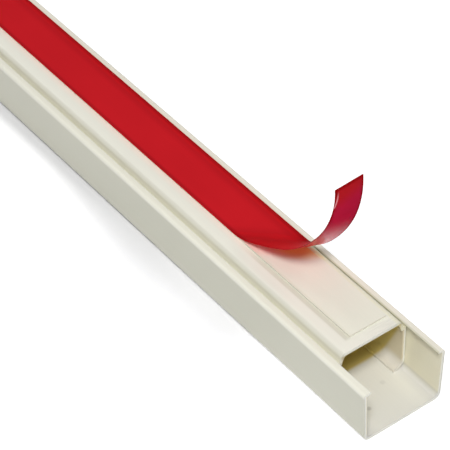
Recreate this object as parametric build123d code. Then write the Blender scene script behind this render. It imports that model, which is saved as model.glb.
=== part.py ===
from build123d import *
import math
import os

# Snap-together cord raceway lying on its cover, adhesive back up.
# +X runs across the channel, +Y along it towards the far end, +Z up.
# The origin is the middle of the cover's flat underside. Millimetres.

# Stock
length = 400.0
base_setback = 19.5

# Cover: the outer channel
cover_width = 38.0
cover_height = 26.1
cover_wall = 1.5
cover_corner = 3.4
wall_spread = 0.97
lip_reach = 2.0
lip_depth = 1.0
lip_crown = 1.6
lip_nose = 0.45
lip_root = 0.6

# Base: the inner channel, held under the cover's lips
base_shift = 0.2
side_clearance = 0.4
lip_clearance = 0.6
base_wall = 1.4
base_lean = 0.3
ledge_depth = 1.8
back_rise = 2.4
shoulder_in = 2.55
groove_in = 1.35
shoulder_round = 2.3
corner_round = 1.6
groove_round = 0.5
wall_top_round = 0.4
heel_round = 4.8
foot_reach = 5.7
foot_tip_round = 0.5

# Adhesive tape on the base's back
tape_width = 18.0
tape_thick = 0.9
tape_left = -6.3
tape_setback = 5.4

# Release liner, peeled back from the near end
liner_width = 21.0
liner_thick = 0.2
liner_left = -6.6
peel_front = 86.3
peel_length = 67.1
fold_angles = (44.7, 17.1, -25.5, -29.4, -20.2, -9.2)
curl_turns = (333.0, 0.0, 154.0, 84.0, 119.0, 89.0)
peel_lead = 3.0
peel_lift = 0.06
fold_steps = 60
steps_per_station = 3

# How near a section's corner has to lie to count as the one to be rounded
same_corner = 1e-4


def trimmed(face, corners):
    """Round the mirrored corners of a section: (distance from the middle, height, radius)."""
    for across, high, radius in corners:
        ends = [
            v for v in face.vertices()
            if abs(abs(v.X) - across) < same_corner and abs(v.Y - high) < same_corner
        ]
        face = fillet(ends, radius)
    return face


def stock(half, corners, far_end):
    """One length of extruded stock from the right half of its section."""
    left = [(-x, z) for x, z in reversed(half)]
    outline = Polyline(*half, *left, close=True)
    face = trimmed(make_face(outline), corners)
    return extrude(Plane.XZ.offset(-far_end) * face, amount=length)


cover_near = -length / 2
cover_far = length / 2
base_near = cover_near + base_setback
base_far = base_near + length

# Cover: flat floor, rounded outer corners, walls that lean out a little,
# and along each wall a thin lip turned inwards
outer = cover_width / 2
inner = outer - cover_wall
spread = wall_spread / cover_height
rim = outer + wall_spread
lip_tip = rim - cover_wall - lip_reach
lip_under = cover_height - lip_depth
root = inner + spread * lip_under
foot_inside = inner + spread * cover_wall
cover_half = [
    (outer, 0),
    (rim, cover_height),
    (lip_tip, cover_height),
    (lip_tip, lip_under),
    (root, lip_under),
    (foot_inside, cover_wall),
]
cover_rounds = [
    (outer, 0, cover_corner),
    (foot_inside, cover_wall, cover_corner - cover_wall),
    (rim, cover_height, lip_crown),
    (lip_tip, cover_height, lip_nose),
    (lip_tip, lip_under, lip_nose),
    (root, lip_under, lip_root),
]
cover_channel = stock(cover_half, cover_rounds, cover_far)

# Base: back plate on top, sloping shoulders, a ledge along each for the cover's lip,
# side walls, and feet turned inwards onto the cover's floor. It lies a little off the
# cover's middle.
floor = cover_wall
back_top = cover_height + back_rise
back_under = back_top - base_wall
side = inner - side_clearance
side_in = side - base_wall
heel = side + base_lean
heel_in = heel - base_wall
foot_tip = heel - foot_reach
groove_floor = lip_under - lip_clearance
groove_under = groove_floor - ledge_depth
shoulder = side - shoulder_in
groove_inner = side - groove_in
slope = math.atan2(groove_inner - shoulder, back_top - groove_floor)
skin = base_wall / math.cos(slope)
back_corner = shoulder + base_wall * math.tan(slope) - skin
ledge_corner = shoulder + (back_top - groove_under) * math.tan(slope) - skin
base_half = [
    (shoulder, back_top),
    (groove_inner, groove_floor),
    (side, groove_floor),
    (heel, floor),
    (foot_tip, floor),
    (foot_tip, floor + base_wall),
    (heel_in, floor + base_wall),
    (side_in, groove_under),
    (ledge_corner, groove_under),
    (back_corner, back_under),
]
base_rounds = [
    (shoulder, back_top, shoulder_round),
    (groove_inner, groove_floor, groove_round),
    (side, groove_floor, wall_top_round),
    (heel, floor, heel_round),
    (foot_tip, floor, foot_tip_round),
    (foot_tip, floor + base_wall, foot_tip_round),
    (heel_in, floor + base_wall, heel_round - base_wall),
    (side_in, groove_under, wall_top_round),
    (ledge_corner, groove_under, wall_top_round),
    (back_corner, back_under, corner_round),
]
base_channel = Pos(base_shift, 0, 0) * stock(base_half, base_rounds, base_far)

# Tape: a flat strip that starts a little way in from the base's near end
tape_near = base_near + tape_setback
tape_right = tape_left + tape_width
tape_top = back_top + tape_thick
tape_outline = Polyline(
    (tape_left, tape_near),
    (tape_right, tape_near),
    (tape_right, base_far),
    (tape_left, base_far),
    close=True,
)
adhesive_tape = extrude(Pos(0, 0, back_top) * make_face(tape_outline), amount=tape_thick)


# Liner: flat on the tape up to a slanting peel front, then a strip that curls up off it.
# The strip keeps its width and length: it is only folded, a little at a time,
# about straight lines that slant across it.
def along(values, part):
    """Straight-line value between evenly spaced ones, part running from 0 to 1."""
    place = part * (len(values) - 1)
    k = min(int(place), len(values) - 2)
    return values[k] + (values[k + 1] - values[k]) * (place - k)


half_liner = liner_width / 2
liner_middle = liner_left + half_liner
film = liner_thick / 2
step = peel_length / fold_steps
spot = Vector(liner_middle, cover_near + peel_front, tape_top + film + peel_lift)
across = Vector(1, 0, 0)
onward = Vector(0, -1, 0)
outward = Vector(0, 0, 1)


def film_section(middle, slant):
    """The film cut along one fold line: a thin upright rectangle."""
    reach = (across + onward * math.tan(slant)) * half_liner
    rise = outward * film
    return Wire.make_polygon([
        middle - reach - rise,
        middle + reach - rise,
        middle + reach + rise,
        middle - reach + rise,
    ])


front_slant = math.radians(fold_angles[0])
sections = [
    film_section(spot - onward * peel_lead - outward * peel_lift, front_slant),
    film_section(spot - onward * peel_lead / 2 - outward * peel_lift / 2, front_slant),
]
for i in range(fold_steps + 1):
    part = i / fold_steps
    slant = math.radians(along(fold_angles, part))
    if i % steps_per_station == 0:
        sections.append(film_section(spot, slant))
    crease = across * math.cos(slant) + onward * math.sin(slant)
    hinge = Axis((0, 0, 0), tuple(crease))
    turn = -along(curl_turns, part) / fold_steps
    across = across.rotate(hinge, turn)
    onward = onward.rotate(hinge, turn)
    outward = outward.rotate(hinge, turn)
    spot = spot + onward * step

seam_middle = cover_near + peel_front + peel_lead
seam_rise = half_liner * math.tan(front_slant)
liner_outline = Polyline(
    (liner_left, seam_middle + seam_rise),
    (liner_left + liner_width, seam_middle - seam_rise),
    (liner_left + liner_width, base_far),
    (liner_left, base_far),
    close=True,
)
liner_flat = extrude(Pos(0, 0, tape_top) * make_face(liner_outline), amount=liner_thick)
liner_curl = Solid.make_loft(sections)

# The two share the seam's cross-section, which is left out where their skins are sewn into one
seam = Vector(liner_middle, seam_middle, tape_top + film)
skin_faces = [
    f for f in liner_flat.faces() + liner_curl.faces()
    if (f.center() - seam).length > film
]
release_liner = Solid(Shell(skin_faces))

os.makedirs("parts", exist_ok=True)
export_step(cover_channel, "parts/cover_channel.step")
export_step(base_channel, "parts/base_channel.step")
export_step(adhesive_tape, "parts/adhesive_tape.step")
export_step(release_liner, "parts/release_liner.step")
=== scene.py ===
import math

import bmesh
import bpy
from bpy.props import FloatProperty, FloatVectorProperty, IntProperty, PointerProperty
from mathutils import Matrix, Vector


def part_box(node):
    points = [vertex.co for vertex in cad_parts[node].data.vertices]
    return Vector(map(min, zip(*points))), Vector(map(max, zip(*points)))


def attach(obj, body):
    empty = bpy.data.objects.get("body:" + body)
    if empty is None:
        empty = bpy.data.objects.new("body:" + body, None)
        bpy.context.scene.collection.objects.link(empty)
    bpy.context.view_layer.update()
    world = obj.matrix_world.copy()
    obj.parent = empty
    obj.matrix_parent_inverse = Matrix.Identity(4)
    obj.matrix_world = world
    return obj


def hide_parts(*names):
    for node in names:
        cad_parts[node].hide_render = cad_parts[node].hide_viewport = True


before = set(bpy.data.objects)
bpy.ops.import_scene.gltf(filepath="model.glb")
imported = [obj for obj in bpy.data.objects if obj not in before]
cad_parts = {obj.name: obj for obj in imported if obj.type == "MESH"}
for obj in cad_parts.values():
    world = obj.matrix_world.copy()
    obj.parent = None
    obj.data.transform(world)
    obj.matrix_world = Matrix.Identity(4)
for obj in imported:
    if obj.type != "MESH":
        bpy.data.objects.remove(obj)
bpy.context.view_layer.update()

bl_info = {
    "name": "Cord raceway",
    "version": (1, 0, 0),
    "blender": (4, 5, 0),
    "location": "View3D > Sidebar > Raceway",
    "description": "Finishes a snap-together cord raceway lying on its cover, with its red liner peeled back",
    "category": "Object",
}

# +X runs across the channel, +Y along it to the far end and +Z up. Metres.
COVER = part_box("cover_channel")
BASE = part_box("base_channel")
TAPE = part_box("adhesive_tape")
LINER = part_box("release_liner")

# The base's wall, and how far the cover's walls lean out for each metre of height
WALL = 0.0014
LEAN = 0.0372

# A sawn end's finish goes so far in, with a soft edge
CUT_DEPTH = (0.00002, 0.00006)

# Light falls into the hollow at a slant, so far along it for each metre down, with a soft edge
LIGHT_SLANT = 0.45
LIGHT_EDGE = (-0.0008, 0.0012)

# Where the faces of a section are tinted. A band names a measure of the point and the two lengths
# between which the tint comes in, or goes out where the first is the larger. The cover's off is
# the distance from its middle, and across is off less the walls' lean.
# The cover's tints are painted light and shade: painted shade on the outer walls, along the right lip's edge and
# in the inner corners, painted warm bounce light on the inner walls and painted light on both lips. The bed's
# tint cools the floor a little.
COVER_TINTS = {
    "outer_wall_shade_tint": (("across", 0.0183, 0.0187), ("z", 0.0252, 0.0238)),
    "inner_wall_warm_light_tint": (("across", 0.0181, 0.0177), ("z", 0.0020, 0.0045), ("z", 0.0251, 0.0247)),
    "lip_gap_shade_tint": (("x", 0.0158, 0.0162), ("x", 0.0174, 0.0166), ("z", 0.0245, 0.0248)),
    "right_lip_light_tint": (("x", 0.0168, 0.0174), ("z", 0.0250, 0.0254)),
    "left_lip_light_tint": (("x", -0.0168, -0.0174), ("z", 0.0250, 0.0254)),
    "bed_tint": (("across", 0.0175, 0.0165), ("z", 0.0012, 0.0014), ("z", 0.0030, 0.0017)),
    "inner_corner_shade_tint": (
        ("off", 0.0110, 0.0165), ("across", 0.0181, 0.0177), ("z", 0.0012, 0.0014), ("z", 0.0046, 0.0030),
    ),
}
# Where the cover's inside is painted in shade, away from its ends
COVER_SHADED_INSIDE = (("across", 0.0174, 0.0168), ("z", 0.0012, 0.0014), ("z", 0.0036, 0.0030))

# The base's off is the distance from its own middle, end the distance from its near end and above
# the height over its back plate's underside. tape_x, tape_y and film_x start at the tape's and the
# film's left edge and the tape's near end, and peel is the distance in front of the peel.
# Painted shade falls under the ledges, under the back plate and on the feet inside
UNDER_LEDGES = (("off", 0.0166, 0.0164), ("z", 0.0229, 0.0228))
UNDER_BACK = (("off", 0.0147, 0.0146), ("above", 0.0002, 0.0001))
FEET = (("z", 0.0080, 0.0040),)
# The base's tints: painted shade in the grooves and on the shoulders, warmer painted shade on the right shoulder,
# a painted red glow beside the film and painted orange shade beside the peel. The strip left of the tape is
# darker.
BASE_TINTS = {
    "groove_shade_tint": (("off", 0.0140, 0.0148), ("z", 0.0225, 0.0232), ("z", 0.0280, 0.0265)),
    "shoulder_shade_tint": (("off", 0.0130, 0.0142), ("z", 0.0255, 0.0272)),
    "right_shoulder_warm_shade_tint": (("x", 0.0120, 0.0130), ("z", 0.0225, 0.0232)),
    "strip_tint": (
        ("tape_x", -0.0026, -0.0018), ("tape_x", 0.0005, 0.0001), ("tape_y", -0.0012, 0.0008),
        ("y", -0.105, -0.125), ("z", 0.0283, 0.0284),
    ),
    "film_glow_tint": (
        ("film_x", -0.0036, 0.0), ("x", 0.001, 0.0), ("y", -0.125, -0.105), ("z", 0.0283, 0.0284),
    ),
    "peel_shade_beside_tint": (
        ("x", 0.0115, 0.0119), ("z", 0.0275, 0.0282), ("peel", -0.002, 0.002), ("peel", 0.0105, 0.0070),
    ),
}
BASE_WORN = (("end", 0.0080, 0.0030), ("x", -0.002, 0.006), ("z", 0.0270, 0.0280))

# Darker spots on the cover's floor: place, radius and how much darker. Each is even up to a part
# of its radius.
DARK_SPOTS = (
    ((-0.0074, -0.1889, 0.0015), 0.0015, 0.25),
    ((0.0056, -0.1817, 0.0015), 0.0016, 0.10),
)
DARK_SPOT_CORE = 0.3

# A point on the line along which the film leaves the tape, and that line's slope
PEEL = (0.0039, -0.1141)
PEEL_SLOPE = 0.99
# In front of it the adhesive is painted with orange shade and red glow from the film: so far, this much less far
# at the right, and a pale red glow at the left
PEEL_SHADE_REACH = (0.0070, 0.0124)
PEEL_SHADE_RIGHT = (0.0060, 0.0115)
PEEL_SHADE_LESS = 0.0014
PEEL_GLOW_LEFT = (-0.0028, 0.0048)
# The left margin of the adhesive face, and how thin the face is
TAPE_MARGIN = (0.0003, 0.0014)
TAPE_SKIN = (-0.00006, -0.00002)

# The film's fold lines and curl in degrees, evenly spaced from the peel front to the free end
FOLDS = (44.7, 31.5, 12.7, -11.2, -26.9, -29.7, -25.7, -22.0, -21.1, -16.5, -9.4)
TURNS = (491.0, 37.0, 20.0, 149.0, 118.0, 80.0, 107.0, 115.0, 102.0, 103.0, 109.0)
# Steps along the flat film and where it starts to lift, the part of the flat that has square
# steps, and the cuts across each step
FLAT_STEPS = 60
LEAD_STEPS = 4
SQUARE_PART = 0.75
FILM_CUTS = 5
FILM_SHARP = math.radians(40)
# The painted highlight line across the free corner, with painted shade beside it: where it starts
# along the peeled film, its length, how far across it lies there and its bow
HIGHLIGHT_START = 0.0595
HIGHLIGHT_LENGTH = 0.0075
HIGHLIGHT_ACROSS = -0.0104
HIGHLIGHT_BOW = 0.0021
# How strongly the face and edges mirror, beside the release side's none
FACE_GLOSS = 0.02

# Half the floor's width, how far it lies under the part, and what the lamps shine at
FLOOR_HALF = 3.0
FLOOR_DROP = 0.00005
LAMP_AIM = (0.0, -0.13, 0.02)
SOFT_LAMPS = (
    ("right_lamp", (1.238, 0.118, 0.330)),
    ("front_lamp", (-0.624, -1.170, 0.488)),
    ("far_left_lamp", (-0.892, 0.539, 0.689)),
    ("far_lamp", (0.0, 0.985, 0.689)),
)
# Painted shade on the floor along the cover: its reach, how much less that is further along and on the right
SHADE_REACH = 0.028
SHADE_LESS_FAR = 0.019
SHADE_LESS_RIGHT = 0.008
SENSOR_WIDTH = 36.0
CAMERA_REACH = 20.0


class Shade:
    """One value in a finish: a node's output that Python's arithmetic works on."""

    def __init__(self, finish, socket):
        self.finish = finish
        self.socket = socket

    def pick(self, output):
        return Shade(self.finish, self.socket.node.outputs[output])

    def worked(self, operation, first, second):
        return self.finish.add("ShaderNodeMath", {"operation": operation}, {0: first, 1: second})

    def __add__(self, other):
        return self.worked("ADD", self, other)

    __radd__ = __add__

    def __sub__(self, other):
        return self.worked("SUBTRACT", self, other)

    def __rsub__(self, other):
        return self.worked("SUBTRACT", other, self)

    def __mul__(self, other):
        return self.worked("MULTIPLY", self, other)

    __rmul__ = __mul__

    def __truediv__(self, other):
        return self.worked("DIVIDE", self, other)

    def __abs__(self):
        return self.worked("ABSOLUTE", self, 0.0)

    def larger(self, other):
        return self.worked("MAXIMUM", self, other)

    def smaller(self, other):
        return self.worked("MINIMUM", self, other)

    def rise(self, low, high):
        """0 below low, 1 above high and smooth between them."""
        return self.finish.add(
            "ShaderNodeMapRange",
            {"interpolation_type": "SMOOTHSTEP"},
            {"Value": self, "From Min": low, "From Max": high, "To Min": 0.0, "To Max": 1.0},
        )

    def fall(self, low, high):
        """1 below low, 0 above high and smooth between them."""
        return 1.0 - self.rise(low, high)

    def band(self, start, end):
        """A rise from start to end, or a fall where start is the larger."""
        return self.rise(start, end) if start < end else self.fall(end, start)


class Finish:
    """The nodes of one procedural material, or of the surroundings."""

    def __init__(self, owner):
        self.owner = owner
        owner.use_nodes = True
        self.tree = owner.node_tree
        self.tree.nodes.clear()

    def add(self, kind, settings, sockets, output=0):
        """Add a node: its settings first, then the values or links of its sockets."""
        node = self.tree.nodes.new(kind)
        for name, value in settings.items():
            setattr(node, name, value)
        for name, value in sockets.items():
            if isinstance(value, Shade):
                self.tree.links.new(value.socket, node.inputs[name])
            else:
                node.inputs[name].default_value = value
        return Shade(self, node.outputs[output] if len(node.outputs) else None)

    def place(self):
        """Where a point lies on the piece, in metres."""
        return self.add("ShaderNodeTexCoord", {}, {}, "Object")

    def axes(self, place):
        x = self.add("ShaderNodeSeparateXYZ", {}, {"Vector": place})
        return x, x.pick("Y"), x.pick("Z")

    def seen(self):
        """1 for what the camera sees, also in a gloss or through a piece, and 0 for light that bounces."""
        rays = self.add("ShaderNodeLightPath", {}, {}, "Is Camera Ray")
        return rays.larger(rays.pick("Is Glossy Ray")).larger(rays.pick("Is Transmission Ray"))

    def stretched(self, place, per_metre):
        return self.add("ShaderNodeVectorMath", {"operation": "MULTIPLY"}, {0: place, 1: per_metre})

    def noise(self, place, per_metre, detail=2.0, roughness=0.5):
        """Cloudy value of about 0.5, with so many clouds per metre each way."""
        return self.add(
            "ShaderNodeTexNoise",
            {},
            {
                "Vector": self.stretched(place, per_metre),
                "Scale": 1.0,
                "Detail": detail,
                "Roughness": roughness,
            },
        )

    def mix(self, share, first, second):
        """A colour between two."""
        return self.add(
            "ShaderNodeMix",
            {"data_type": "RGBA"},
            {0: share, 6: paint(first), 7: paint(second)},
            2,
        )

    def tinted(self, colour, tint):
        """A colour times a tint of about 1 in red, green and blue."""
        return self.add("ShaderNodeVectorMath", {"operation": "MULTIPLY"}, {0: colour, 1: tint})

    def toned(self, colour, share, tint):
        """A colour with so much of a tint."""
        return self.mix(share, colour, self.tinted(colour, tint))

    def shaded(self, colour, value):
        """A colour made darker or lighter by a value of about 1."""
        grey = self.add("ShaderNodeCombineColor", {}, {0: value, 1: value, 2: value})
        return self.add(
            "ShaderNodeMix",
            {"data_type": "RGBA", "blend_type": "MULTIPLY"},
            {0: 1.0, 6: paint(colour), 7: grey},
            2,
        )

    def bump(self, height, distance):
        return self.add("ShaderNodeBump", {}, {"Height": height, "Distance": distance, "Strength": 1.0})

    def surface(self, through=0.0, through_colour=None, **sockets):
        """The piece's own shader, joined to the material. through is the share of light that shines through."""
        named = {name.replace("_", " "): value for name, value in sockets.items()}
        shader = self.add("ShaderNodeBsdfPrincipled", {}, named)
        if through > 0.0:
            back = self.add("ShaderNodeBsdfTranslucent", {}, {"Color": paint(through_colour)})
            shader = self.add("ShaderNodeMixShader", {}, {0: through, 1: shader, 2: back})
        self.add("ShaderNodeOutputMaterial", {}, {"Surface": shader})
        return self.owner


def new_finish(name):
    return Finish(bpy.data.materials.new(name))


def paint(colour):
    """A plain colour as four numbers; a Shade stays as it is."""
    return colour if isinstance(colour, Shade) else (*colour, 1.0)


def region(measures, bands):
    """1 where a point lies in all the bands, 0 outside them."""
    return math.prod(measures[name].band(start, end) for name, start, end in bands)


def in_front_of_peel(x, y):
    """How far a point lies in front of the line where the film leaves the tape."""
    return (PEEL[1] - y - (x - PEEL[0]) * PEEL_SLOPE) / math.hypot(1.0, PEEL_SLOPE)


def dress(node, material):
    """Put a finish on a CAD piece."""
    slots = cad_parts[node].material_slots
    if not slots:
        raise RuntimeError(f"{node} has no material slot")
    slots[0].material = material


def colour_property(name, description, default):
    return FloatVectorProperty(
        name=name, description=description, default=default, size=3, subtype="COLOR", min=0.0, max=1.0
    )


def tint_property(name, description, default):
    return FloatVectorProperty(name=name, description=description, default=default, size=3, min=0.0, max=2.0)


def share_property(name, description, default):
    return FloatProperty(name=name, description=description, default=default, min=0.0, max=1.0, subtype="FACTOR")


def length_property(name, description, default):
    return FloatProperty(
        name=name,
        description=description,
        default=default,
        min=0.0,
        subtype="DISTANCE",
        unit="LENGTH",
        precision=5,
    )


def angle_property(name, description, default):
    return FloatProperty(
        name=name, description=description, default=math.radians(default), subtype="ANGLE", unit="ROTATION"
    )


def angles_property(name, description, default):
    return FloatVectorProperty(
        name=name,
        description=description,
        size=len(default),
        default=[math.radians(angle) for angle in default],
        unit="ROTATION",
    )


def place_property(name, description, default):
    return FloatVectorProperty(name=name, description=description, default=default, subtype="TRANSLATION")


class PlasticSettings(bpy.types.PropertyGroup):
    """The extruded channels' finish."""

    cover_colour: colour_property("Cover", "Colour of the cover's plastic", (0.834, 0.822, 0.722))
    base_colour: colour_property("Base", "Colour of the base's plastic", (0.866, 0.856, 0.752))
    # The inside colour is painted shade, deep in the channels where light does not fall
    inside_shade_colour: colour_property("Inside", "Deeper colour inside, away from the ends", (0.70, 0.57, 0.195))
    cut_colour: colour_property("Cut ends", "Paler colour of the sawn ends", (0.845, 0.835, 0.755))
    # Painted shade on the outer walls, lip edge and inner corners, painted warm light on the inner walls and
    # painted light on the lips
    outer_wall_shade_tint: tint_property("Outer walls", "Tint of the cover's outer walls", (0.800, 0.804, 0.756))
    inner_wall_warm_light_tint: tint_property("Inner walls", "Tint of the cover's inner walls", (0.998, 0.970, 0.862))
    lip_gap_shade_tint: tint_property("Lip edge", "Tint along the edge of the cover's right lip", (0.740, 0.730, 0.630))
    right_lip_light_tint: tint_property("Right lip", "Tint of the cover's right lip", (1.000, 0.980, 0.955))
    left_lip_light_tint: tint_property("Left lip", "Tint of the cover's left lip", (1.012, 1.010, 0.985))
    bed_tint: tint_property("Bed", "Tint of the cover's floor", (0.985, 0.985, 1.020))
    inner_corner_shade_tint: tint_property("Inner corners", "Tint of the cover's inner corners", (0.845, 0.845, 0.865))
    # Painted shade in the hollow, on the feet, in the grooves and on the shoulders, warmer on the right shoulder
    hollow_shade_tint: tint_property("Hollow", "Tint of the base's inner faces", (0.830, 0.758, 0.630))
    foot_shade_tint: tint_property("Feet", "Tint of the base's feet inside", (0.850, 0.822, 0.825))
    groove_shade_tint: tint_property("Grooves", "Tint of the grooves along the base", (0.952, 0.934, 0.872))
    shoulder_shade_tint: tint_property("Shoulders", "Tint of the base's rounded shoulders", (0.800, 0.795, 0.770))
    right_shoulder_warm_shade_tint: tint_property("Right shoulder", "Further tint of the right shoulder", (1.000, 0.995, 0.890))
    strip_tint: tint_property("Beside the tape", "Tint of the base left of the tape", (0.805, 0.798, 0.758))
    # Painted red glow from the film beside it, and painted orange shade beside the peel
    film_glow_tint: tint_property("Beside the film", "Tint of the base left of the film", (1.055, 0.948, 0.942))
    peel_shade_beside_tint: tint_property("Beside the peel", "Tint of the base right of the peel", (1.130, 1.050, 0.800))
    roughness: share_property("Roughness", "Satin of the extruded skin", 0.42)
    streak_width: length_property("Die lines", "Width of the faint lines along the stock", 0.0009)
    streak_depth: length_property("Die line depth", "Depth of those lines", 0.000004)


class TapeSettings(bpy.types.PropertyGroup):
    """The mounting tape's finish."""

    face_colour: colour_property("Adhesive", "Colour of the bare adhesive face", (0.860, 0.856, 0.732))
    edge_colour: colour_property("Foam", "Colour of the foam at the cut edges", (0.750, 0.722, 0.625))
    # Painted orange shade under the lifted film, and a painted pale red glow at its left end
    peel_shade_tint: tint_property("At the peel", "Tint that the film leaves at the peel front", (1.150, 0.790, 0.310))
    peel_glow_tint: tint_property("Left of the peel", "Tint at the peel front's left end", (1.130, 0.845, 0.850))
    margin_tint: tint_property("Margin", "Tint along the tape's left margin", (0.940, 0.935, 0.920))
    grain: length_property("Stipple", "Size of the adhesive's fine stipple", 0.0007)


class FilmSettings(bpy.types.PropertyGroup):
    """The release liner's shape and finish."""

    face_colour: colour_property("Face", "Colour of the liner's face", (0.980, 0.0215, 0.0330))
    back_colour: colour_property("Release side", "Colour of the side off the tape", (0.345, 0.0210, 0.0840))
    edge_colour: colour_property("Edge", "Colour of the film's cut edges", (0.160, 0.0040, 0.0120))
    tip_tint: tint_property("Free end", "Tint of the release side at the free end", (1.000, 1.100, 0.420))
    # A painted highlight along the free corner's curl
    corner_highlight_colour: colour_property("Crease", "Colour of the crease at the free corner", (0.950, 0.560, 0.610))
    through: share_property("Shine through", "Share of light that each skin lets through", 0.41)
    through_colour: colour_property("Through", "Colour of light that shines through", (0.960, 0.030, 0.012))
    width: length_property("Width", "Width of the film", 0.0210)
    thickness: length_property("Thickness", "Thickness of the film", 0.0002)
    peel_front: length_property("Peel front", "From the cover's near end to the middle of the peel", 0.0859)
    peel_length: length_property("Peeled length", "Length of film that is off the tape", 0.0666)
    peel_lead: length_property("Lead", "Length over which the film starts to lift", 0.0030)
    peel_lift: length_property("Lift", "Lift of the film at the peel front", 0.00006)
    folds: angles_property("Fold lines", "Slant of the fold lines, from the peel front to the free end", FOLDS)
    turns: angles_property("Curl", "Curl at the same places, as a turn over the whole peeled length", TURNS)
    steps: IntProperty(name="Folds", description="Number of small folds in the curl", default=60, min=12, max=400)


class StageSettings(bpy.types.PropertyGroup):
    """Floor, light and camera."""

    floor_colour: colour_property("Floor", "Colour of the floor", (0.816, 0.816, 0.838))
    floor_glow: share_property("Floor white", "White added to what the camera sees", 0.45)
    daylight: share_property("Surroundings", "Even light from all round", 0.166)
    key_power: FloatProperty(
        name="Key", description="Main lamp, above the near left", default=11.8, min=0.0, unit="POWER"
    )
    key_size: length_property("Key size", "Width of the main lamp", 0.36)
    key_place: place_property("Key place", "Where the main lamp hangs", (-0.420, -0.669, 1.140))
    soft_power: FloatVectorProperty(
        name="Soft lamps",
        description="Power of the lamps on the right, in front, far left and behind",
        size=len(SOFT_LAMPS),
        default=(4.35, 2.30, 1.10, 2.85),
        min=0.0,
        unit="POWER",
    )
    soft_size: length_property("Soft size", "Width of the soft lamps", 0.6)
    camera_place: place_property("Camera", "Where the camera stands", (-0.36678, -0.58885, 0.59131))
    azimuth: angle_property("Azimuth", "Way the camera faces, from straight along the stock", -36.230)
    elevation: angle_property("Elevation", "How far the camera looks down", 42.643)
    roll: angle_property("Roll", "Tilt of the camera about its own line of sight", -1.218)
    lens: FloatProperty(name="Lens", description="Focal length", default=165.72, min=10.0, unit="CAMERA")


def channel_finish(name, colour, plastic, box):
    """Extruded satin plastic with faint die lines, rubbed here and there, and sawn at the box's ends."""
    f = new_finish(name)
    place = f.place()
    y = f.axes(place)[1]
    per = 1.0 / plastic.streak_width
    lines = f.noise(place, (per, 5.0, per), 3.0, 0.6)
    clouds = f.noise(place, (38.0, 14.0, 38.0), 3.0, 0.55)
    rubs = f.noise(place, (1700.0, 90.0, 1700.0), 2.0, 0.6).rise(0.66, 0.74)
    rubs = rubs * f.noise(place, (55.0, 22.0, 55.0), 1.0).rise(0.48, 0.66)
    cut = abs(y - box[0].y).fall(*CUT_DEPTH).larger(abs(y - box[1].y).fall(*CUT_DEPTH))
    saw = f.noise(place, (260.0, 40.0, 2600.0), 2.0, 0.7)
    skin = f.shaded(colour, 0.955 + clouds * 0.05 + lines * 0.04)
    skin = f.mix(rubs * 0.35, skin, plastic.cut_colour)
    sawn = f.shaded(plastic.cut_colour, 0.92 + saw * 0.16)
    rough = plastic.roughness - 0.06 + clouds * 0.08 + lines * 0.06 + rubs * 0.12 + cut * 0.25
    normal = f.bump(lines * (1.0 - cut) + saw * cut * 3.0, plastic.streak_depth)
    return f, place, f.mix(cut, skin, sawn), {"Roughness": rough, "Normal": normal, "IOR": 1.5}


def shade_inside(y, z):
    """Where the inside is painted in shade: 1 inside the base, 0 near the ends, as far as light falls in at a
    slant.
    """
    slant = (BASE[1].z - WALL - z) * LIGHT_SLANT
    near = (y - BASE[0].y - slant).rise(*LIGHT_EDGE)
    far = (COVER[1].y - y - slant).rise(*LIGHT_EDGE)
    return near * far


class RACEWAY_OT_dress_channels(bpy.types.Operator):
    """Give the cover and the base their cream extruded plastic"""

    bl_idname = "raceway.dress_channels"
    bl_label = "Channels"

    def execute(self, context):
        plastic = context.scene.raceway_plastic
        self.dress_cover(plastic)
        self.dress_base(plastic)
        return {"FINISHED"}

    def dress_cover(self, plastic):
        f, place, colour, skin = channel_finish("cover_plastic", plastic.cover_colour, plastic, COVER)
        x, y, z = f.axes(place)
        measures = {"x": x, "z": z, "off": abs(x), "across": abs(x) - z * LEAN}
        # Painted light and shade, face by face, and the bed's cooler tint
        for tint, bands in COVER_TINTS.items():
            colour = f.toned(colour, region(measures, bands), getattr(plastic, tint))
        for spot, reach, depth in DARK_SPOTS:
            far = f.add("ShaderNodeVectorMath", {"operation": "DISTANCE"}, {0: place, 1: spot}, "Value")
            colour = f.shaded(colour, 1.0 - far.fall(reach * DARK_SPOT_CORE, reach) * depth)
        # Painted shade inside the cover, beyond where light falls in
        inside = region(measures, COVER_SHADED_INSIDE) * shade_inside(y, z)
        colour = f.mix(inside, colour, plastic.inside_shade_colour)
        dress("cover_channel", f.surface(Base_Color=colour, **skin))

    def dress_base(self, plastic):
        f, place, colour, skin = channel_finish("base_plastic", plastic.base_colour, plastic, BASE)
        x, y, z = f.axes(place)
        measures = {
            "x": x,
            "y": y,
            "z": z,
            "off": abs(x - (BASE[0].x + BASE[1].x) / 2),
            "end": y - BASE[0].y,
            "above": z - (BASE[1].z - WALL),
            "tape_x": x - TAPE[0].x,
            "tape_y": y - TAPE[0].y,
            "film_x": x - LINER[0].x,
            "peel": in_front_of_peel(x, y),
        }
        # Painted shade under the ledges and the back plate, and on the feet
        hollow = region(measures, UNDER_LEDGES).larger(region(measures, UNDER_BACK))
        feet = hollow * region(measures, FEET)
        colour = f.toned(colour, hollow - feet, plastic.hollow_shade_tint)
        colour = f.toned(colour, feet, plastic.foot_shade_tint)
        for tint, bands in BASE_TINTS.items():
            colour = f.toned(colour, region(measures, bands), getattr(plastic, tint))
        scuffs = f.noise(place, (160.0, 1500.0, 160.0), 2.0, 0.6)
        colour = f.shaded(colour, 1.0 + region(measures, BASE_WORN) * (scuffs - 0.55) * 0.34)
        # Painted shade in the base's hollow, beyond where light falls in
        colour = f.mix(hollow * shade_inside(y, z), colour, plastic.inside_shade_colour)
        dress("base_channel", f.surface(Base_Color=colour, **skin))


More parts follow.
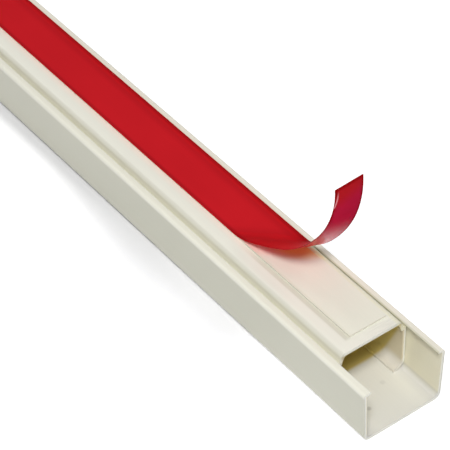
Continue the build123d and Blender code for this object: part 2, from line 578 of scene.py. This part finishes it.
class RACEWAY_OT_dress_tape(bpy.types.Operator):
    """Give the mounting tape its tacky face and foam edges"""

    bl_idname = "raceway.dress_tape"
    bl_label = "Tape"

    def execute(self, context):
        tape = context.scene.raceway_tape
        f = new_finish("tape_foam")
        place = f.place()
        x, y, z = f.axes(place)
        per = 1.0 / tape.grain
        stipple = f.noise(place, (per, per, per), 2.0, 0.6)
        fibres = f.noise(place, (900.0, 120.0, 900.0), 3.0, 0.6)
        clouds = f.noise(place, (90.0, 40.0, 90.0), 2.0)
        foam = f.shaded(tape.edge_colour, 0.85 + stipple * 0.3)
        sticky = f.shaded(tape.face_colour, 0.94 + clouds * 0.06 + fibres * 0.04 + stipple * 0.02)
        # Painted orange shade and pale red glow in front of the peel, where the lifted film shades the adhesive
        orange_shade, red_glow = f.tinted(sticky, tape.peel_shade_tint), f.tinted(sticky, tape.peel_glow_tint)
        peel_shade_and_glow = f.mix(x.fall(*PEEL_GLOW_LEFT), orange_shade, red_glow)
        front = in_front_of_peel(x, y) + x.rise(*PEEL_SHADE_RIGHT) * PEEL_SHADE_LESS
        sticky = f.mix(front.fall(*PEEL_SHADE_REACH), sticky, peel_shade_and_glow)
        sticky = f.toned(sticky, (x - TAPE[0].x).fall(*TAPE_MARGIN), tape.margin_tint)
        face = (z - TAPE[1].z).rise(*TAPE_SKIN)
        material = f.surface(
            Base_Color=f.mix(face, foam, sticky),
            Roughness=0.75 - face * 0.33 + (clouds - 0.5) * 0.12,
            Normal=f.bump(stipple + fibres * 0.6, 0.00001),
            IOR=1.47,
        )
        dress("adhesive_tape", material)
        return {"FINISHED"}


def film_finish(name, colour, film, gloss, release_side=False):
    """Red film with fine draw lines. Its release side has dark margins, a painted highlight line with painted
    shade beside it at the free corner, and a sheen.
    """
    f = new_finish(name)
    flat = f.add("ShaderNodeAttribute", {"attribute_name": "flat"}, {}, "Vector")
    across, run = f.axes(flat)[:2]
    ripples = f.noise(flat, (70.0, 26.0, 1.0), 1.0)
    draw = f.noise(flat, (1400.0, 12.0, 1.0), 2.0, 0.6)
    clouds = f.noise(flat, (60.0, 30.0, 1.0), 3.0)
    peeled = run - (LINER[1].y - COVER[0].y - film.peel_front)
    margin = film.width / 2 - abs(across)
    value = 0.90 + clouds * 0.14 + draw * 0.06
    if release_side:
        tail = film.peel_length + across * math.tan(film.folds[-1]) - peeled
        rim = margin.smaller(tail).fall(0.0005, 0.0018)
        # Painted highlight line across the free corner, with painted shade on its outer side
        up = (peeled - HIGHLIGHT_START) / HIGHLIGHT_LENGTH
        past = across - (HIGHLIGHT_ACROSS + (1.0 - (1.0 - up) * (1.0 - up)) * HIGHLIGHT_BOW)
        corner = past.fall(-0.0006, -0.0002) * up.rise(0.0, 0.1)
        highlight_line = abs(past).fall(0.0003, 0.0009) * up.rise(0.0, 0.1) * up.fall(0.45, 1.0)
        colour = f.toned(colour, peeled.rise(0.0560, 0.0640), film.tip_tint)
        colour = f.shaded(colour, value * (1.0 - rim * 0.70) * (1.0 - corner * 0.55))
        colour = f.mix(highlight_line, colour, film.corner_highlight_colour)
        blotches = f.noise(flat, (420.0, 300.0, 1.0), 2.0, 0.6)
        sheen = (peeled + across * 0.40).fall(0.0300, 0.0500) * (1.0 - rim * 0.6)
        sheen = sheen * (0.50 + blotches * 0.95).smaller(1.0)
    else:
        front = peeled - across * PEEL_SLOPE
        colour = f.mix(peeled.rise(0.0180, 0.0320), film.face_colour, colour)
        value = value * (1.0 - margin.fall(0.0004, 0.0023) * 0.34)
        value = value * (1.0 - across.rise(0.0040, 0.0100) * 0.30)
        # Painted shade on the face where the film bends up off the tape
        colour = f.shaded(colour, value * (1.0 - front.rise(-0.0090, 0.0035) * 0.42))
        sheen = peeled.rise(0.0120, 0.0240) * 0.4
    return f.surface(
        Base_Color=colour,
        Roughness=0.26 + clouds * 0.08 + draw * 0.06,
        Normal=f.bump(ripples + draw * 0.05, 0.00006),
        IOR=1.45,
        Specular_IOR_Level=gloss,
        Coat_Weight=sheen,
        Coat_Roughness=0.12,
        through=film.through,
        through_colour=film.through_colour,
    )


def between(values, part):
    """Straight-line value between evenly spaced ones, part running from 0 to 1."""
    place = part * (len(values) - 1)
    k = min(int(place), len(values) - 2)
    return values[k] + (values[k + 1] - values[k]) * (place - k)


class FilmStrip:
    """A strip of film drawn on edge by edge, each edge a straight line across it."""

    def __init__(self, width):
        self.bm = bmesh.new()
        self.flat = self.bm.verts.layers.float_vector.new("flat")
        self.half = width / 2
        self.edge = None
        self.ends = ()

    def draw(self, middle, across, onward, slant, run):
        """Carry the strip on to the line through middle that slants across it. run is the length so far."""
        lean = math.tan(slant)
        reach = (across + onward * lean) * self.half
        targets = (middle - reach, middle + reach)
        if self.edge is None:
            self.ends = tuple(self.bm.verts.new(t) for t in targets)
            self.edge = self.bm.edges.new(self.ends)
        else:
            made = bmesh.ops.extrude_edge_only(self.bm, edges=[self.edge])["geom"]
            new = [g for g in made if isinstance(g, bmesh.types.BMVert)]
            new.sort(key=lambda v: (v.co - self.ends[0].co).length)
            for vert, target in zip(new, targets):
                bmesh.ops.translate(self.bm, verts=[vert], vec=target - vert.co)
            self.ends = tuple(new)
            self.edge = self.bm.edges.get(new)
        for vert, side in zip(self.ends, (-1, 1)):
            vert[self.flat] = (side * self.half, run + side * self.half * lean, 0.0)

    def thickened(self, name, thickness):
        """The strip as a thick mesh, its release side on the second material and its edges on the third."""
        bmesh.ops.recalc_face_normals(self.bm, faces=self.bm.faces[:])
        top = sum(f.normal.z * f.calc_area() for f in self.bm.faces)
        if top < 0:
            bmesh.ops.reverse_faces(self.bm, faces=self.bm.faces[:])
        rulings = [e for e in self.bm.edges if len(e.link_faces) == 2]
        bmesh.ops.subdivide_edges(self.bm, edges=rulings, cuts=FILM_CUTS, use_grid_fill=True)
        drawn = set(self.bm.verts)
        bmesh.ops.solidify(self.bm, geom=self.bm.faces[:], thickness=-thickness)
        for face in self.bm.faces:
            face.smooth = True
            on_tape = sum(v in drawn for v in face.verts)
            face.material_index = 0 if on_tape == 0 else 1 if on_tape == len(face.verts) else 2
        mesh = bpy.data.meshes.new(name)
        self.bm.to_mesh(mesh)
        self.bm.free()
        mesh.set_sharp_from_angle(angle=FILM_SHARP)
        return mesh


class RACEWAY_OT_make_liner(bpy.types.Operator):
    """Draw on the red liner: flat on the tape, then folded up off it a little at a time"""

    bl_idname = "raceway.make_liner"
    bl_label = "Liner"

    def execute(self, context):
        film = context.scene.raceway_film
        mesh = self.drawn(film).thickened("release_liner_film", film.thickness)
        mesh.materials.append(film_finish("liner_face", film.face_colour, film, FACE_GLOSS))
        mesh.materials.append(film_finish("liner_release_side", film.back_colour, film, 0.0, True))
        mesh.materials.append(film_finish("liner_edge", film.edge_colour, film, FACE_GLOSS))
        piece = bpy.data.objects.new("release_liner_film", mesh)
        context.scene.collection.objects.link(piece)
        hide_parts("release_liner")
        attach(piece, "root")
        return {"FINISHED"}

    def drawn(self, film):
        """The film's underside, from the far end to the free one."""
        strip = FilmStrip(film.width)
        across, onward, up = Vector((1, 0, 0)), Vector((0, -1, 0)), Vector((0, 0, 1))
        front = film.folds[0]
        far_end = Vector((LINER[0].x + film.width / 2, LINER[1].y, TAPE[1].z))
        flat_run = LINER[1].y - (COVER[0].y + film.peel_front + film.peel_lead)
        for i in range(FLAT_STEPS + 1):
            part = i / FLAT_STEPS
            slant = front * max(0.0, (part - SQUARE_PART) / (1.0 - SQUARE_PART))
            spot = far_end + onward * flat_run * part
            strip.draw(spot, across, onward, slant, flat_run * part)
        for i in range(1, LEAD_STEPS):
            part = i / LEAD_STEPS
            lead = spot + onward * film.peel_lead * part + up * film.peel_lift * part * part
            strip.draw(lead, across, onward, front, flat_run + film.peel_lead * part)
        spot = spot + onward * film.peel_lead + up * film.peel_lift
        run = flat_run + film.peel_lead
        step = film.peel_length / film.steps
        for i in range(film.steps + 1):
            part = i / film.steps
            slant = between(film.folds, part)
            strip.draw(spot, across, onward, slant, run)
            crease = across * math.cos(slant) + onward * math.sin(slant)
            fold = Matrix.Rotation(-between(film.turns, part) / film.steps, 3, crease)
            across, onward = fold @ across, fold @ onward
            spot = spot + onward * step
            run += step
        return strip


def lamp(scene, name, place, power, size):
    """Hang a round lamp that shines at the raceway's near half."""
    data = bpy.data.lights.new(name, "AREA")
    data.energy = power
    data.shape = "DISK"
    data.size = size
    piece = bpy.data.objects.new(name, data)
    piece.location = place
    piece.rotation_mode = "QUATERNION"
    piece.rotation_quaternion = (Vector(LAMP_AIM) - Vector(place)).to_track_quat("-Z", "Y")
    scene.collection.objects.link(piece)


class RACEWAY_OT_make_stage(bpy.types.Operator):
    """Lay the floor, hang the lamps and set up the camera"""

    bl_idname = "raceway.make_stage"
    bl_label = "Stage"

    def execute(self, context):
        scene = context.scene
        stage = scene.raceway_stage
        self.lay_floor(scene, stage)
        self.light(scene, stage)
        self.set_up_camera(scene, stage)
        scene.view_settings.view_transform = "Standard"
        return {"FINISHED"}

    def lay_floor(self, scene, stage):
        bm = bmesh.new()
        bmesh.ops.create_grid(bm, x_segments=1, y_segments=1, size=FLOOR_HALF)
        bmesh.ops.translate(bm, verts=bm.verts[:], vec=(0, 0, -FLOOR_DROP))
        mesh = bpy.data.meshes.new("floor")
        bm.to_mesh(mesh)
        bm.free()
        mesh.materials.append(self.floor_finish(stage))
        floor = bpy.data.objects.new("floor", mesh)
        scene.collection.objects.link(floor)

    def floor_finish(self, stage):
        """White paper, bright to the camera, with painted shade along the cover."""
        f = new_finish("floor_paper")
        place = f.place()
        x, y = f.axes(place)[:2]
        grain = f.noise(place, (300.0, 300.0, 300.0), 2.0)
        # Painted shadow along the cover: less white glow, and the floor darker at the contact
        beside = abs(x) - COVER[1].x + x.rise(0.0, 0.001) * SHADE_LESS_RIGHT
        reach = SHADE_REACH - y.rise(-0.09, 0.02) * SHADE_LESS_FAR
        short = (y - COVER[1].y).fall(-0.03, 0.02)
        onset = y.rise(-0.165, -0.115) * 0.75 + y.rise(-0.105, -0.055) * 0.25
        shade = beside.fall(0.001, reach) * onset * short
        contact_shade = beside.fall(0.0003, 0.0045) * y.rise(-0.075, 0.0) * short
        far_off = abs(x).larger(abs(y)).rise(0.4, 1.6)
        # Sampled as a lamp, since the light that comes through the film is weighed against it
        f.owner.cycles.emission_sampling = "FRONT_BACK"
        return f.surface(
            Base_Color=f.shaded(stage.floor_colour, 0.99 + grain * 0.02 - contact_shade * 0.08),
            Roughness=1.0,
            Specular_IOR_Level=0.0,
            Emission_Color=f.shaded((1.0, 1.0, 1.0), (1.0 - shade + far_off * 1.3) * f.seen()),
            Emission_Strength=stage.floor_glow,
        )

    def light(self, scene, stage):
        scene.world = bpy.data.worlds.new("studio")
        f = Finish(scene.world)
        strength = f.seen() * (1.0 - stage.daylight) + stage.daylight
        sky = f.add("ShaderNodeBackground", {}, {"Strength": strength})
        f.add("ShaderNodeOutputWorld", {}, {"Surface": sky})
        lamp(scene, "key_lamp", stage.key_place, stage.key_power, stage.key_size)
        for (name, place), power in zip(SOFT_LAMPS, stage.soft_power):
            lamp(scene, name, place, power, stage.soft_size)

    def set_up_camera(self, scene, stage):
        a, e = stage.azimuth, stage.elevation
        back = Vector((math.sin(a) * math.cos(e), -math.cos(a) * math.cos(e), math.sin(e)))
        right = Vector((0, 0, 1)).cross(back).normalized()
        up = back.cross(right)
        turned = Matrix((right, up, back)).transposed() @ Matrix.Rotation(stage.roll, 3, "Z")
        data = bpy.data.cameras.new("camera")
        data.lens = stage.lens
        data.sensor_width = SENSOR_WIDTH
        data.clip_end = CAMERA_REACH
        camera = bpy.data.objects.new("camera", data)
        camera.matrix_world = Matrix.Translation(stage.camera_place) @ turned.to_4x4()
        scene.collection.objects.link(camera)
        scene.camera = camera


class RACEWAY_PT_panel(bpy.types.Panel):
    """The raceway's settings and steps"""

    bl_idname = "RACEWAY_PT_panel"
    bl_label = "Cord raceway"
    bl_space_type = "VIEW_3D"
    bl_region_type = "UI"
    bl_category = "Raceway"

    def draw(self, context):
        for step, group in STEPS:
            box = self.layout.box()
            box.operator(step.bl_idname)
            settings = getattr(context.scene, group)
            for name in settings.bl_rna.properties.keys():
                if name not in ("rna_type", "name"):
                    box.prop(settings, name)


GROUPS = {
    "raceway_plastic": PlasticSettings,
    "raceway_tape": TapeSettings,
    "raceway_film": FilmSettings,
    "raceway_stage": StageSettings,
}
STEPS = (
    (RACEWAY_OT_dress_channels, "raceway_plastic"),
    (RACEWAY_OT_dress_tape, "raceway_tape"),
    (RACEWAY_OT_make_liner, "raceway_film"),
    (RACEWAY_OT_make_stage, "raceway_stage"),
)
CLASSES = (*GROUPS.values(), *(step for step, group in STEPS), RACEWAY_PT_panel)


def register():
    for cls in CLASSES:
        bpy.utils.register_class(cls)
    for name, cls in GROUPS.items():
        setattr(bpy.types.Scene, name, PointerProperty(type=cls))


def unregister():
    for name in GROUPS:
        delattr(bpy.types.Scene, name)
    for cls in reversed(CLASSES):
        bpy.utils.unregister_class(cls)


def main():
    register()
    bpy.ops.raceway.dress_channels()
    bpy.ops.raceway.dress_tape()
    bpy.ops.raceway.make_liner()
    bpy.ops.raceway.make_stage()


if __name__ == "__main__":
    main()
